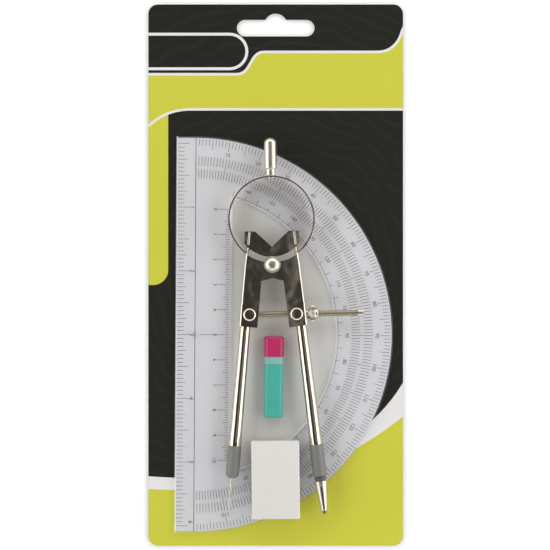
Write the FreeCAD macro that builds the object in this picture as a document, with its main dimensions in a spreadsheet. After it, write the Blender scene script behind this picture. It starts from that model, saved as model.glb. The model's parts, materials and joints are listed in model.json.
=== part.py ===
import FreeCAD, Part
import os
from math import atan2, hypot, sqrt
import Sketcher

doc = FreeCAD.newDocument("CompassSet")

# All sizes in mm. Each leg has its own upright frame with the pivot at the
# origin; leg x values are distances out from the pivot.
sizes = {
    # card
    "card_half_wide": 50.8, "card_half_tall": 107.95, "card_thick": 0.6,
    "card_corner": 3.8, "card_flat_wide": 47.0, "card_flat_tall": 104.15,
    "slot_low": 95.2, "slot_high": 101.8, "slot_flat": 12.2, "slot_end": 3.3,
    "bump_half": 4.1, "bump_bend": 4.61,
    # protractor
    "rule_edge": 7.8, "rule_round": 79.0, "rule_thick": 1.6, "rule_bevel": 0.6,
    "window_chord": 14.4, "window_corner": 54.427, "window_round": 56.3,
    "window_bevel": 0.7, "centre_hole": 1.7,
    "rule_place_x": -32.2, "rule_place_y": -23.75, "rule_turn": -0.35,
    # eraser
    "rubber_half_wide": 9.5, "rubber_half_tall": 15.4, "rubber_thick": 9.0,
    "rubber_edge": 0.5, "rubber_place_x": -0.05, "rubber_place_y": -81.15,
    "rubber_place_z": 2.22, "rubber_turn": 0.6,
    # lead case, lying along y
    "case_place_x": -0.8, "case_place_y": -40.4, "case_place_z": 3.25, "case_turn": -0.7,
    "case_wide": 3.8, "case_deep": 2.4, "case_flat_x": 2.0, "case_flat_z": 0.6,
    "case_bend": 1.8, "case_top": 4.9, "case_length": 21.3, "case_foot": 0.7,
    "case_well_wide": 3.25, "case_well_deep": 1.85, "case_well_flat_x": 2.25,
    "case_well_flat_z": 0.85, "case_well_bend": 1.0, "case_well_length": 19.4,
    "neck_wide": 3.2, "neck_deep": 1.8, "neck_flat_x": 2.2, "neck_flat_z": 0.8,
    "neck_bend": 1.0, "neck_top": 12.8, "neck_length": 11.8,
    "collar_top": 7.8, "collar_length": 2.9,
    "neck_hole_wide": 2.6, "neck_hole_deep": 1.2,
    "cap_wide": 4.0, "cap_deep": 2.6, "cap_flat_x": 2.0, "cap_flat_z": 0.6,
    "cap_bend": 2.0, "cap_top": 16.0, "cap_length": 8.15, "cap_round": 0.6,
    "cap_well_wide": 3.28, "cap_well_deep": 1.88, "cap_well_flat_x": 2.2,
    "cap_well_flat_z": 0.8, "cap_well_bend": 1.08, "cap_well_length": 6.75,
    "spare_radius": 1.0, "spare_length": 23.8, "spare_low": -14.3, "spare_x": 1.15,
    # compass place and lean
    "pivot_x": -1.36, "pivot_y": 4.15, "pivot_z": 6.0, "compass_turn": 1.0,
    "leg_lean": 6.05,
    # ring spring
    "ring_y": 18.1, "ring_out": 17.2, "ring_in": 16.6, "ring_deep": 7.4,
    "ring_half_deep": 3.7, "ring_end_out_x": 11.948, "ring_end_out_y": 5.727,
    "ring_end_in_x": 11.531, "ring_end_in_y": 6.159,
    "ring_hole": 1.15, "ring_hole_low": 33.0, "ring_hole_high": 36.5,
    # handle and its rivet
    "grip_seat": 35.32, "grip_neck": 2.0, "grip_step": 38.0, "grip_radius": 2.5,
    "grip_dome_low": 48.8, "grip_shoulder": 2.1, "grip_shoulder_y": 49.8,
    "grip_tip": 1.1, "grip_top": 50.4,
    "grip_bore": 1.1, "grip_bore_top": 40.0,
    "stud_radius": 1.08, "stud_head": 1.8, "stud_low": 33.75, "stud_seat": 34.56,
    "stud_top": 39.6, "stud_side": 1.2, "stud_side_y": 33.95,
    # saddle plates
    "saddle_tip_x": 9.2, "saddle_tip_y": 3.567, "saddle_top_x": 8.5,
    "saddle_top_y": 6.1, "saddle_bend": 13.2,
    "saddle_foot_x": 2.6, "saddle_foot_y": 1.098, "saddle_end": 1.6,
    "saddle_inner": 2.6, "saddle_outer": 3.2, "saddle_thick": 0.6,
    "saddle_lug": 3.3, "saddle_hole": 1.53, "spot_x": 7.4, "spot_y": 4.1,
    "spot_radius": 0.75, "spot_high": 0.25,
    # pivot rivet
    "pin_radius": 1.5, "pin_head": 2.85, "pin_head_top": 4.1, "pin_side": 2.4,
    "pin_side_z": 3.7, "pin_tip": 1.2,
    "pin_foot": 2.2, "pin_foot_low": 3.65,
    # legs
    "leg_deep": 5.0, "leg_half_deep": 2.5, "leg_out": 11.0, "leg_in": 3.7,
    "tab_out_x": 11.9, "tab_out_y": 12.1, "tab_in_x": 8.0, "tab_in_y": 12.5,
    "tab_step_y": 7.6, "tab_notch_y": 6.4, "tab_notch_x": 10.75,
    "lug_high_x": 3.11, "lug_high_y": 4.14, "lug_low_x": 1.67, "lug_low_y": 4.9,
    "lug_radius": 5.18, "lug_corner_y": 6.9,
    "block_low": 25.5, "block_high": 15.9, "block_half_deep": 3.2, "block_deep": 6.4,
    "face_top": 8.2, "face_low": 14.9, "face_edge": 9.9,
    "face_over": 3.0, "face_cut": 0.7,
    "leg_round": 0.9, "bore_radius": 1.55, "lap_radius": 8.0, "lap_deep": 2.65,
    "lap_front": 2.6, "lap_back": 0.05, "lap_near_x": 12.0, "lap_near_y": 15.9,
    "lap_far_x": 8.4, "lap_far_y": 18.1,
    "tube_axis": 8.52, "tube_start": 23.0, "tube_top_radius": 2.1,
    "tube_low_radius": 2.55, "tube_end": 73.0,
    "socket_radius": 1.75, "socket_top": 63.5,
    "joint_x": 7.2, "joint_y": 20.6, "joint_bore": 2.55,
    "slot_half_deep": 2.1, "slot_deep": 4.2,
    "slot_in_high_x": 3.014, "slot_in_high_y": 16.65,
    "slot_in_low_x": 1.668, "slot_in_low_y": 22.19,
    "slot_mid_high_x": 7.873, "slot_mid_high_y": 17.83,
    "slot_mid_low_x": 6.527, "slot_mid_low_y": 23.37,
    "slot_out_high_x": 12.926, "slot_out_high_y": 19.057,
    "slot_out_low_x": 11.58, "slot_out_low_y": 24.597,
    # trunnions and spindle
    "cross_x": 9.331, "cross_y": 19.726, "trunnion_radius": 2.5,
    "trunnion_deep": 6.4, "trunnion_half_deep": 3.2, "trunnion_dish": 1.9,
    "trunnion_dish_deep": 0.6, "trunnion_reach": 3.0,
    "fixed_bore": 1.33, "fixed_deep": 1.65, "running_bore": 1.36, "spindle_radius": 1.3,
    "spindle_start": 10.9, "spindle_end": 36.25, "spindle_tip": 1.0,
    "spindle_tip_start": 35.95,
    "stop_radius": 1.6, "stop_start": 33.7, "stop_end": 35.9, "stop_bore": 1.33,
    "washer_start": 12.03, "washer_snout": 1.75, "washer_cone": 13.83,
    "washer_wide": 2.3, "washer_face": 14.63,
    "wheel_start": 14.68, "wheel_radius": 3.15, "wheel_rim": 2.95,
    "wheel_rim_in": 14.88, "wheel_rim_out": 16.68, "wheel_face": 16.88,
    "wheel_collar": 2.2, "wheel_end": 17.85,
    # needle side
    "plug_shank": 1.7, "plug_shank_top": 64.0, "plug_seat": 73.05,
    "plug_radius": 2.7, "plug_side_low": 84.7, "plug_foot": 1.6, "plug_end": 86.0,
    "needle_bore": 0.53, "needle_bore_top": 79.0,
    "needle_top": 79.2, "needle_radius": 0.5, "needle_cone": 97.0, "needle_tip": 99.9,
    "needle_blunt": 0.06,
    # lead side
    "sleeve_radius": 2.8, "sleeve_end": 85.6, "sleeve_bore": 1.65,
    "band_radius": 2.1, "band_start": 85.65, "band_end": 87.6, "band_bore": 1.65,
    "clutch_stem": 1.6, "clutch_top": 80.0, "clutch_seat": 87.65,
    "clutch_wide": 2.6, "clutch_side_low": 88.4, "clutch_nose": 1.2,
    "clutch_end": 99.6, "clutch_bore": 1.03, "split_half": 0.22, "split_top": 89.5,
    "split_over": 101.0, "split_front": 3.0, "split_deep": 6.0,
    "lead_top": 81.0, "lead_radius": 1.0, "lead_cone": 99.7, "lead_end": 100.7,
    "lead_blunt": 0.35,
}
table = doc.addObject("Spreadsheet::Sheet", "Sizes")
for row, (word, number) in enumerate(sizes.items(), start=1):
    table.set(f"A{row}", word)
    table.set(f"B{row}", str(number))
    table.setAlias(f"B{row}", word)
doc.recompute()

pieces = []


def size(word):
    return -sizes[word[1:]] if word.startswith("-") else sizes.get(word, 0.0)


def link(thing, slot, word):
    if word != "0":
        sign = "-" if word.startswith("-") else ""
        thing.setExpression(slot, f"{sign}Sizes.{word.lstrip('-')}")


def newBody(name, where=("0", "0", "0"), turn=0.0):
    body = doc.addObject("PartDesign::Body", name)
    body.Label = name
    spin = FreeCAD.Rotation(FreeCAD.Vector(0, 0, 1), turn)
    body.Placement = FreeCAD.Placement(FreeCAD.Vector(*[size(w) for w in where]), spin)
    for axis, word in zip("xyz", where):
        link(body, f"Placement.Base.{axis}", word)
    pieces.append(body)
    return body


def compassBody(name, lean=0):
    turn = sizes["compass_turn"] + lean * sizes["leg_lean"]
    return newBody(name, ("pivot_x", "pivot_y", "pivot_z"), turn)


def newSketch(body, plane="XY_Plane", shift=("0", "0", "0")):
    sketch = body.newObject("Sketcher::SketchObject", f"{body.Name}_sketch")
    origin = [o for o in body.Origin.OriginFeatures if o.Role == plane][0]
    sketch.AttachmentSupport = [(origin, "")]
    sketch.MapMode = "FlatFace"
    offset = FreeCAD.Vector(*[size(w) for w in shift])
    sketch.AttachmentOffset = FreeCAD.Placement(offset, FreeCAD.Rotation())
    for axis, word in zip("xyz", shift):
        link(sketch, f"AttachmentOffset.Base.{axis}", word)
    return sketch


def pinPoint(sketch, edge, end, point):
    for kind, word in zip(("DistanceX", "DistanceY"), point):
        rule = Sketcher.Constraint(kind, edge, end, size(word))
        link(sketch, f"Constraints[{sketch.addConstraint(rule)}]", word)


def addOutline(sketch, points, bends=None):
    # bends maps the number of an edge to its radius and +1 for a left turn, -1 for a right turn
    bends = bends or {}
    first = sketch.GeometryCount
    spots = [FreeCAD.Vector(size(x), size(y), 0) for x, y in points]
    count = len(spots)
    for i in range(count):
        a, b = spots[i], spots[(i + 1) % count]
        if i not in bends:
            sketch.addGeometry(Part.LineSegment(a, b))
            continue
        radius, way = size(bends[i][0]), bends[i][1]
        chord = b - a
        rise = sqrt(max(radius ** 2 - (chord.Length / 2) ** 2, 0.0))
        side = FreeCAD.Vector(-chord.y, chord.x, 0).normalize() * way
        middle = (a + b) * 0.5 + side * rise
        ring = Part.Circle(middle, FreeCAD.Vector(0, 0, 1), radius)
        ends = [atan2(p.y - middle.y, p.x - middle.x) for p in (a, b)]
        if way < 0:
            ends.reverse()
        sketch.addGeometry(Part.ArcOfCircle(ring, *ends))
    for i in range(count):
        k = (i + 1) % count
        head = 1 if i in bends and bends[i][1] < 0 else 2
        tail = 2 if k in bends and bends[k][1] < 0 else 1
        sketch.addConstraint(Sketcher.Constraint("Coincident", first + i, head, first + k, tail))
        pinPoint(sketch, first + k, tail, points[k])
    for i, (word, way) in bends.items():
        rule = Sketcher.Constraint("Radius", first + i, size(word))
        link(sketch, f"Constraints[{sketch.addConstraint(rule)}]", word)


def addCircle(sketch, point, radius):
    middle = FreeCAD.Vector(size(point[0]), size(point[1]), 0)
    ring = Part.Circle(middle, FreeCAD.Vector(0, 0, 1), size(radius))
    edge = sketch.addGeometry(ring)
    pinPoint(sketch, edge, 3, point)
    rule = Sketcher.Constraint("Radius", edge, size(radius))
    link(sketch, f"Constraints[{sketch.addConstraint(rule)}]", radius)


def build(body, kind, sketch, length, reverse=False):
    before = body.Shape.Volume if body.Tip else 0.0
    feature = body.newObject(f"PartDesign::{kind}", f"{body.Name}_{kind.lower()}")
    feature.Profile = sketch
    feature.Reversed = reverse
    link(feature, "Length", length)
    sketch.Visibility = False
    doc.recompute()
    grown = body.Shape.Volume - before
    assert (grown > 0) == (kind == "Pad") and abs(grown) > 1e-3, (body.Name, kind, grown)
    return feature


def pad(body, sketch, length, reverse=False):
    return build(body, "Pad", sketch, length, reverse)


def pocket(body, sketch, length, reverse=False):
    return build(body, "Pocket", sketch, length, reverse)


def turned(body, sketch, axis="V_Axis", kind="Revolution"):
    before = body.Shape.Volume if body.Tip else 0.0
    feature = body.newObject(f"PartDesign::{kind}", f"{body.Name}_{kind.lower()}")
    feature.Profile = sketch
    feature.ReferenceAxis = (sketch, [axis])
    feature.Angle = 360
    sketch.Visibility = False
    doc.recompute()
    grown = body.Shape.Volume - before
    assert (grown > 0) == (kind == "Revolution") and abs(grown) > 1e-3, (body.Name, kind, grown)
    return feature


def soften(body, feature, radius, test, kind="Fillet"):
    names = [f"Edge{i}" for i, e in enumerate(feature.Shape.Edges, start=1) if test(e)]
    assert names, body.Name
    soft = body.newObject(f"PartDesign::{kind}", f"{body.Name}_{kind.lower()}")
    soft.Base = (feature, names)
    link(soft, "Radius" if kind == "Fillet" else "Size", radius)
    doc.recompute()
    return soft


def along(edge, direction, length):
    a, b = edge.Vertexes[0].Point, edge.Vertexes[-1].Point
    return abs(abs((b - a).dot(FreeCAD.Vector(*direction))) - edge.Length) < 1e-4 and edge.Length > length


def roundedRectangle(sketch, wide, tall, flatX, flatY, bend):
    points = [("-" + flatX, "-" + tall), (flatX, "-" + tall), (wide, "-" + flatY), (wide, flatY),
              (flatX, tall), ("-" + flatX, tall), ("-" + wide, flatY), ("-" + wide, "-" + flatY)]
    addOutline(sketch, points, {i: (bend, 1) for i in (1, 3, 5, 7)})


def rectangle(sketch, left, low, right, high):
    addOutline(sketch, [(left, low), (right, low), (right, high), (left, high)])


# backing card with its hang slot
card = newBody("backing_card")
outline = newSketch(card)
roundedRectangle(outline, "card_half_wide", "card_half_tall",
                 "card_flat_wide", "card_flat_tall", "card_corner")
addOutline(outline, [("-slot_flat", "slot_low"), ("slot_flat", "slot_low"),
                     ("slot_flat", "slot_high"), ("bump_half", "slot_high"),
                     ("-bump_half", "slot_high"), ("-slot_flat", "slot_high")],
           {1: ("slot_end", 1), 3: ("bump_bend", 1), 5: ("slot_end", 1)})
pad(card, outline, "card_thick")

# protractor: half disc with a ruler strip, an arched window and a centre hole
rule = newBody("protractor", ("rule_place_x", "rule_place_y", "card_thick"), sizes["rule_turn"])
outline = newSketch(rule)
addOutline(outline, [("-rule_edge", "-rule_round"), ("0", "-rule_round"), ("rule_round", "0"),
                     ("0", "rule_round"), ("-rule_edge", "rule_round")],
           {1: ("rule_round", 1), 2: ("rule_round", 1)})
addOutline(outline, [("window_chord", "-window_corner"), ("window_round", "0"),
                     ("window_chord", "window_corner")],
           {0: ("window_round", 1), 1: ("window_round", 1)})
addCircle(outline, ("0", "0"), "centre_hole")
plate = pad(rule, outline, "rule_thick")


def onWindow(edge):
    high = all(abs(v.Z - sizes["rule_thick"]) < 1e-6 for v in edge.Vertexes)
    near = all(v.X > 14 and hypot(v.X, v.Y) < 56.4 for v in edge.Vertexes)
    return high and near


def onRulerEdge(edge):
    return all(abs(v.X + sizes["rule_edge"]) < 1e-6 and v.Z > 1 for v in edge.Vertexes)


rim = soften(rule, plate, "window_bevel", onWindow, "Chamfer")
soften(rule, rim, "rule_bevel", onRulerEdge, "Chamfer")

# eraser block
rubber = newBody("eraser", ("rubber_place_x", "rubber_place_y", "rubber_place_z"),
                 sizes["rubber_turn"])
outline = newSketch(rubber)
rectangle(outline, "-rubber_half_wide", "-rubber_half_tall", "rubber_half_wide",
          "rubber_half_tall")
block = pad(rubber, outline, "rubber_thick")
soften(rubber, block, "rubber_edge", lambda edge: True, "Chamfer")

# lead case: tube, neck insert and cap; the profiles lie across y
caseAt = ("case_place_x", "case_place_y", "case_place_z")
case = newBody("lead_case", caseAt, sizes["case_turn"])
outline = newSketch(case, "XZ_Plane", ("0", "0", "-case_top"))
roundedRectangle(outline, "case_wide", "case_deep", "case_flat_x", "case_flat_z", "case_bend")
tube = pad(case, outline, "case_length")
soften(case, tube, "case_foot", lambda e: all(v.Y < -16 for v in e.Vertexes), "Chamfer")
outline = newSketch(case, "XZ_Plane", ("0", "0", "-case_top"))
roundedRectangle(outline, "case_well_wide", "case_well_deep", "case_well_flat_x",
                 "case_well_flat_z", "case_well_bend")
pocket(case, outline, "case_well_length", True)

neck = newBody("lead_case_neck", caseAt, sizes["case_turn"])
outline = newSketch(neck, "XZ_Plane", ("0", "0", "-neck_top"))
roundedRectangle(outline, "neck_wide", "neck_deep", "neck_flat_x", "neck_flat_z", "neck_bend")
pad(neck, outline, "neck_length")
outline = newSketch(neck, "XZ_Plane", ("0", "0", "-collar_top"))
roundedRectangle(outline, "case_wide", "case_deep", "case_flat_x", "case_flat_z", "case_bend")
pad(neck, outline, "collar_length")
outline = newSketch(neck, "XZ_Plane", ("0", "0", "-neck_top"))
rectangle(outline, "-neck_hole_wide", "-neck_hole_deep", "neck_hole_wide", "neck_hole_deep")
pocket(neck, outline, "neck_length", True)

cap = newBody("lead_case_cap", caseAt, sizes["case_turn"])
outline = newSketch(cap, "XZ_Plane", ("0", "0", "-cap_top"))
roundedRectangle(outline, "cap_wide", "cap_deep", "cap_flat_x", "cap_flat_z", "cap_bend")
crown = pad(cap, outline, "cap_length")
soften(cap, crown, "cap_round", lambda e: all(v.Y > 15.9 for v in e.Vertexes), "Chamfer")
outline = newSketch(cap, "XZ_Plane", ("0", "0", "-cap_top"))
roundedRectangle(outline, "cap_well_wide", "cap_well_deep", "cap_well_flat_x",
                 "cap_well_flat_z", "cap_well_bend")
outline.setExpression("AttachmentOffset.Base.z", "-(Sizes.cap_top - Sizes.cap_length)")
pocket(cap, outline, "cap_well_length", False)

for side, word in ((-1, "-spare_x"), (1, "spare_x")):
    spare = newBody("spare_lead_left" if side < 0 else "spare_lead_right", caseAt,
                    sizes["case_turn"])
    outline = newSketch(spare, "XZ_Plane", ("0", "0", "-spare_low"))
    addCircle(outline, (word, "0"), "spare_radius")
    pad(spare, outline, "spare_length", True)

# ring spring: an open band with a hole for the handle's rivet
ring = compassBody("ring_spring")
outline = newSketch(ring, "XY_Plane", ("0", "0", "-ring_half_deep"))
band = [("ring_end_out_x", "ring_end_out_y"), ("ring_out", "ring_y"), ("-ring_out", "ring_y"),
        ("-ring_end_out_x", "ring_end_out_y"), ("-ring_end_in_x", "ring_end_in_y"),
        ("-ring_in", "ring_y"), ("ring_in", "ring_y"), ("ring_end_in_x", "ring_end_in_y")]
addOutline(outline, band, {0: ("ring_out", 1), 2: ("ring_out", 1),
                           4: ("ring_in", -1), 6: ("ring_in", -1)})
# the two upper halves are replaced by true half circles
for i, word in ((1, "ring_out"), (5, "ring_in")):
    outline.toggleConstruction(i)
    middle = FreeCAD.Vector(0, sizes["ring_y"], 0)
    arc = Part.ArcOfCircle(Part.Circle(middle, FreeCAD.Vector(0, 0, 1), sizes[word]), 0, 3.14159265)
    half = outline.addGeometry(arc)
    other = 2 if i == 1 else 1
    outline.addConstraint(Sketcher.Constraint("Coincident", half, 1, i, 3 - other))
    outline.addConstraint(Sketcher.Constraint("Coincident", half, 2, i, other))
    level = Sketcher.Constraint("DistanceY", half, 3, sizes["ring_y"])
    link(outline, f"Constraints[{outline.addConstraint(level)}]", "ring_y")
pad(ring, outline, "ring_deep")
outline = newSketch(ring)
rectangle(outline, "0", "ring_hole_low", "ring_hole", "ring_hole_high")
turned(ring, outline, "V_Axis", "Groove")

# handle, turned from bar, with a blind bore for its rivet
handle = compassBody("handle")
outline = newSketch(handle)
addOutline(outline, [("grip_bore", "grip_seat"), ("grip_neck", "grip_seat"),
                     ("grip_neck", "grip_step"), ("grip_radius", "grip_step"),
                     ("grip_radius", "grip_dome_low"), ("grip_shoulder", "grip_shoulder_y"),
                     ("grip_tip", "grip_top"), ("0", "grip_top"), ("0", "grip_bore_top"),
                     ("grip_bore", "grip_bore_top")])
turned(handle, outline)

rivet = compassBody("handle_rivet")
outline = newSketch(rivet)
addOutline(outline, [("0", "stud_low"), ("stud_side", "stud_side_y"), ("stud_head", "stud_seat"),
                     ("stud_radius", "stud_seat"), ("stud_radius", "stud_top"),
                     ("0", "stud_top")])
turned(rivet, outline)

# saddle plates: crescents that follow the ring, joined at the pivot
for name, level in (("front_saddle_plate", "saddle_inner"), ("rear_saddle_plate", "-saddle_outer")):
    saddle = compassBody(name)
    outline = newSketch(saddle, "XY_Plane", ("0", "0", level))
    addOutline(outline, [("-saddle_tip_x", "saddle_tip_y"), ("-saddle_foot_x", "saddle_foot_y"),
                         ("saddle_foot_x", "saddle_foot_y"), ("saddle_tip_x", "saddle_tip_y"),
                         ("saddle_top_x", "saddle_top_y"), ("-saddle_top_x", "saddle_top_y")],
               {0: ("ring_out", 1), 2: ("ring_out", 1), 3: ("saddle_end", 1),
                4: ("saddle_bend", -1), 5: ("saddle_end", 1)})
    pad(saddle, outline, "saddle_thick")
    outline = newSketch(saddle, "XY_Plane", ("0", "0", level))
    addCircle(outline, ("0", "0"), "saddle_lug")
    pad(saddle, outline, "saddle_thick")
    if name == "front_saddle_plate":
        outline = newSketch(saddle, "XY_Plane", ("0", "0", "saddle_outer"))
        for word in ("-spot_x", "spot_x"):
            addCircle(outline, (word, "spot_y"), "spot_radius")
        pad(saddle, outline, "spot_high")
    outline = newSketch(saddle, "XY_Plane", ("0", "0", level))
    addCircle(outline, ("0", "0"), "saddle_hole")
    pocket(saddle, outline, "saddle_thick", True)

# pivot rivet
pin = compassBody("pivot_rivet")
outline = newSketch(pin, "XZ_Plane")
addOutline(outline, [("0", "-pin_foot_low"), ("pin_foot", "-pin_foot_low"),
                     ("pin_foot", "-saddle_outer"), ("pin_radius", "-saddle_outer"),
                     ("pin_radius", "saddle_outer"), ("pin_head", "saddle_outer"),
                     ("pin_side", "pin_side_z"), ("pin_tip", "pin_head_top"),
                     ("0", "pin_head_top")])
turned(pin, outline)

# legs: half-lapped lug, flat-faced upper leg, clevis for the trunnion, round lower leg
for side in (-1, 1):
    name = "left_leg" if side < 0 else "right_leg"

    def out(word, side=side):
        return "-" + word if side < 0 else word

    def back(word, side=side):
        return word if side < 0 else "-" + word

    leg = compassBody(name, side)
    outline = newSketch(leg, "XY_Plane", ("0", "0", "-leg_half_deep"))
    corners = [(out("tab_out_x"), "tab_out_y"), (out("tab_in_x"), "tab_in_y"),
               (back("lug_high_x"), "lug_high_y"), (back("lug_low_x"), "-lug_low_y"),
               (out("leg_in"), "-lug_corner_y"), (out("leg_in"), "-block_low"),
               (out("leg_out"), "-block_low"), (out("leg_out"), "0"),
               (out("tab_notch_x"), "tab_notch_y"), (out("tab_out_x"), "tab_step_y")]
    addOutline(outline, corners, {2: ("lug_radius", side)})
    slab = pad(leg, outline, "leg_deep")
    edgeX = side * sizes["leg_out"]
    slab = soften(leg, slab, "leg_round",
                  lambda e: along(e, (0, 1, 0), 20) and abs(e.Vertexes[0].X - edgeX) < 1e-4)
    outline = newSketch(leg, "XY_Plane", ("0", "0", "-block_half_deep"))
    rectangle(outline, out("leg_out"), "-block_low", out("leg_in"), "-block_high")
    clevis = pad(leg, outline, "block_deep")
    for level, up in (("leg_half_deep", False), ("-leg_half_deep", True)):
        outline = newSketch(leg, "XY_Plane", ("0", "0", level))
        rectangle(outline, out("face_edge"), "-face_low", out("face_over"), "-face_top")
        pocket(leg, outline, "face_cut", up)
    outline = newSketch(leg, "XY_Plane", (out("tube_axis"), "0", "0"))
    addOutline(outline, [("0", "-tube_start"), ("0", "-tube_end"), ("tube_low_radius", "-tube_end"),
                         ("tube_top_radius", "-tube_start")])
    turned(leg, outline)
    outline = newSketch(leg, "XY_Plane", (out("tube_axis"), "0", "0"))
    rectangle(outline, "0", "-tube_end", "socket_radius", "-socket_top")
    turned(leg, outline, "V_Axis", "Groove")
    outline = newSketch(leg, "XY_Plane", ("0", "0", "lap_front" if side < 0 else "lap_back"))
    addCircle(outline, ("0", "0"), "lap_radius")
    pocket(leg, outline, "lap_deep")
    outline = newSketch(leg, "XY_Plane", ("0", "0", "lap_front" if side < 0 else "lap_back"))
    addOutline(outline, [("0", "0"), (out("lap_near_x"), "lap_near_y"),
                         (back("lap_far_x"), "lap_far_y")])
    pocket(leg, outline, "lap_deep")
    outline = newSketch(leg, "XY_Plane", ("0", "0", "block_half_deep"))
    addCircle(outline, ("0", "0"), "bore_radius")
    pocket(leg, outline, "block_deep")
    outline = newSketch(leg, "XY_Plane", ("0", "0", "block_half_deep"))
    addCircle(outline, (out("joint_x"), "-joint_y"), "joint_bore")
    pocket(leg, outline, "block_deep")
    outline = newSketch(leg, "XY_Plane", ("0", "0", "slot_half_deep"))
    far = "out" if side > 0 else "mid"
    addOutline(outline, [(out(f"slot_{far}_high_x"), f"-slot_{far}_high_y"),
                         (out(f"slot_{far}_low_x"), f"-slot_{far}_low_y"),
                         (out("slot_in_low_x"), "-slot_in_low_y"),
                         (out("slot_in_high_x"), "-slot_in_high_y")])
    pocket(leg, outline, "slot_deep")

# trunnions with a dished end and a cross bore for the spindle
for side in (-1, 1):
    word = "-cross_x" if side < 0 else "cross_x"
    trunnion = compassBody("left_trunnion" if side < 0 else "right_trunnion")
    outline = newSketch(trunnion, "XY_Plane", ("0", "0", "-trunnion_half_deep"))
    addCircle(outline, (word, "-cross_y"), "trunnion_radius")
    pad(trunnion, outline, "trunnion_deep")
    outline = newSketch(trunnion, "XY_Plane", ("0", "0", "trunnion_half_deep"))
    addCircle(outline, (word, "-cross_y"), "trunnion_dish")
    pocket(trunnion, outline, "trunnion_dish_deep")
    bore = "fixed_bore" if side < 0 else "running_bore"
    outline = newSketch(trunnion, "XY_Plane", (word, "-cross_y", "0"))
    rectangle(outline, "-trunnion_reach" if side > 0 else "-fixed_deep", "0",
              "trunnion_reach", bore)
    turned(trunnion, outline, "H_Axis", "Groove")

# spindle, end stop, washer and thumb wheel share one axis
along_x = ("0", "-cross_y", "0")
spindle = compassBody("spindle")
outline = newSketch(spindle, "XY_Plane", along_x)
addOutline(outline, [("-spindle_start", "0"), ("spindle_end", "0"), ("spindle_end", "spindle_tip"),
                     ("spindle_tip_start", "spindle_radius"),
                     ("-spindle_start", "spindle_radius")])
turned(spindle, outline, "H_Axis")

stop = compassBody("spindle_stop")
outline = newSketch(stop, "XY_Plane", along_x)
rectangle(outline, "stop_start", "stop_bore", "stop_end", "stop_radius")
turned(stop, outline, "H_Axis")

washer = compassBody("thrust_washer")
outline = newSketch(washer, "XY_Plane", along_x)
addOutline(outline, [("washer_start", "running_bore"), ("washer_face", "running_bore"),
                     ("washer_face", "washer_wide"), ("washer_cone", "washer_snout"),
                     ("washer_start", "washer_snout")])
turned(washer, outline, "H_Axis")

wheel = compassBody("thumb_wheel")
outline = newSketch(wheel, "XY_Plane", along_x)
addOutline(outline, [("wheel_start", "running_bore"), ("wheel_end", "running_bore"),
                     ("wheel_end", "wheel_collar"), ("wheel_face", "wheel_collar"),
                     ("wheel_face", "wheel_rim"), ("wheel_rim_out", "wheel_radius"),
                     ("wheel_rim_in", "wheel_radius"), ("wheel_start", "wheel_rim")])
turned(wheel, outline, "H_Axis")

# needle plug and needle in the left leg
leftAxis, rightAxis = ("-tube_axis", "0", "0"), ("tube_axis", "0", "0")
plug = compassBody("needle_plug", -1)
outline = newSketch(plug, "XY_Plane", leftAxis)
addOutline(outline, [("0", "-plug_shank_top"), ("0", "-needle_bore_top"),
                     ("needle_bore", "-needle_bore_top"), ("needle_bore", "-plug_end"),
                     ("plug_foot", "-plug_end"), ("plug_radius", "-plug_side_low"),
                     ("plug_radius", "-plug_seat"), ("plug_shank", "-plug_seat"),
                     ("plug_shank", "-plug_shank_top")])
turned(plug, outline)

needle = compassBody("needle", -1)
outline = newSketch(needle, "XY_Plane", leftAxis)
addOutline(outline, [("0", "-needle_top"), ("0", "-needle_tip"), ("needle_blunt", "-needle_tip"),
                     ("needle_radius", "-needle_cone"), ("needle_radius", "-needle_top")])
turned(needle, outline)

# lead sleeve, clamp ring, split clutch and lead in the right leg
sleeve = compassBody("lead_sleeve", 1)
outline = newSketch(sleeve, "XY_Plane", rightAxis)
addOutline(outline, [("0", "-plug_shank_top"), ("0", "-needle_bore_top"),
                     ("sleeve_bore", "-needle_bore_top"), ("sleeve_bore", "-sleeve_end"),
                     ("sleeve_radius", "-sleeve_end"), ("sleeve_radius", "-plug_seat"),
                     ("plug_shank", "-plug_seat"), ("plug_shank", "-plug_shank_top")])
turned(sleeve, outline)

clamp = compassBody("clamp_ring", 1)
outline = newSketch(clamp, "XY_Plane", rightAxis)
rectangle(outline, "band_bore", "-band_end", "band_radius", "-band_start")
turned(clamp, outline)

clutch = compassBody("lead_clutch", 1)
outline = newSketch(clutch, "XY_Plane", rightAxis)
addOutline(outline, [("clutch_bore", "-clutch_top"), ("clutch_bore", "-clutch_end"),
                     ("clutch_nose", "-clutch_end"), ("clutch_wide", "-clutch_side_low"),
                     ("clutch_wide", "-clutch_seat"), ("clutch_stem", "-clutch_seat"),
                     ("clutch_stem", "-clutch_top")])
turned(clutch, outline)
outline = newSketch(clutch, "XY_Plane", ("tube_axis", "0", "split_front"))
rectangle(outline, "-split_half", "-split_over", "split_half", "-split_top")
pocket(clutch, outline, "split_deep")

lead = compassBody("compass_lead", 1)
outline = newSketch(lead, "XY_Plane", rightAxis)
addOutline(outline, [("0", "-lead_top"), ("0", "-lead_end"), ("lead_blunt", "-lead_end"),
                     ("lead_radius", "-lead_cone"), ("lead_radius", "-lead_top")])
turned(lead, outline)

doc.recompute()
for thing in doc.Objects:
    assert not {"Invalid", "Error"} & set(thing.State), (thing.Name, thing.State)
os.makedirs("parts", exist_ok=True)
for piece in pieces:
    assert not piece.Shape.isNull() and piece.Shape.isValid(), piece.Label
    piece.Shape.exportStep(f"parts/{piece.Label}.step")
    box = piece.Shape.BoundBox
    print(f"{piece.Label:22s} {piece.Shape.Volume:9.1f} mm3  solids {len(piece.Shape.Solids)}"
          f"  z {box.ZMin:.2f} to {box.ZMax:.2f}")
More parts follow.
